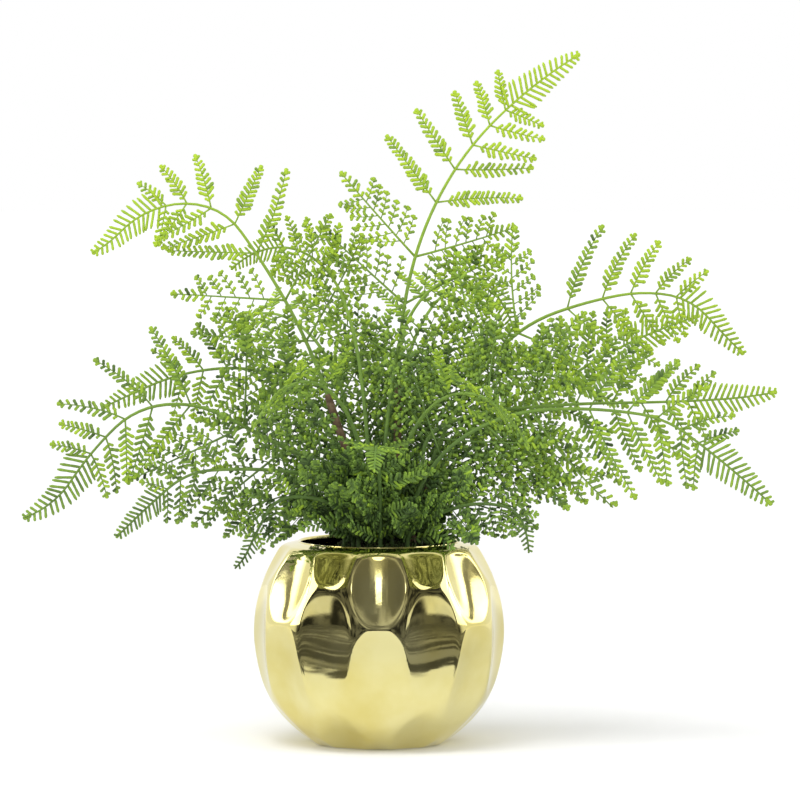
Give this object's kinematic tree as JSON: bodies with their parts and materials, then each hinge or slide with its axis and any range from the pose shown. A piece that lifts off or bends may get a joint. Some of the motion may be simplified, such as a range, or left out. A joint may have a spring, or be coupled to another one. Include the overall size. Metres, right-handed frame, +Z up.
{
  "type": "brass planter pot",
  "caption": "Round brass planter pot with pressed hexagonal facets and a rolled mouth, holding a lift-out artificial fern in a weighted liner.",
  "frame": {"origin": "centre of the pot's base, on the surface it stands on", "axes": "+Z up along the pot's axis; the front faces -Y; +X to the right seen from the front"},
  "size_m": [0.3719, 0.2468, 0.3441],
  "materials": {
    "pot_brass": "polished pale gold mirror",
    "liner_plastic": "moulded black, matt",
    "plaster": "cast, dusty",
    "foam": "dark brown cellular",
    "moss": "fibrous, matt",
    "steel_wire": "galvanised",
    "kraft_paper": "wound brown tape",
    "fern_green": "moulded, satin, two greens"
  },
  "bodies": {
    "pot": {"pot_shell": "pot_brass"},
    "fern_insert": {"ballast": "plaster", "foam_plug": "foam", "frond_back_left": "fern_green", "frond_back_mid": "fern_green", "frond_back_right": "fern_green", "frond_centre_left": "fern_green", "frond_centre_right": "fern_green", "frond_front_left": "fern_green", "frond_front_mid": "fern_green", "frond_front_right": "fern_green", "frond_left_high": "fern_green", "frond_left_long": "fern_green", "frond_left_low": "fern_green", "frond_left_mid": "fern_green", "frond_left_short": "fern_green", "frond_right_arch": "fern_green", "frond_right_back": "fern_green", "frond_right_high": "fern_green", "frond_right_long": "fern_green", "frond_right_low": "fern_green", "frond_right_mid": "fern_green", "frond_top": "fern_green", "liner_pot": "liner_plastic", "moss_mat": "moss", "paper_wrap_left_high": "kraft_paper", "paper_wrap_right_high": "kraft_paper", "paper_wrap_top": "kraft_paper", "stem_wires": "steel_wire"}
  },
  "joints": [
    {"name": "fern_lift", "type": "slide", "parent": "pot", "child": "fern_insert", "axis": [0, 0, 1], "range_m": [0, 0.12]}
  ]
}
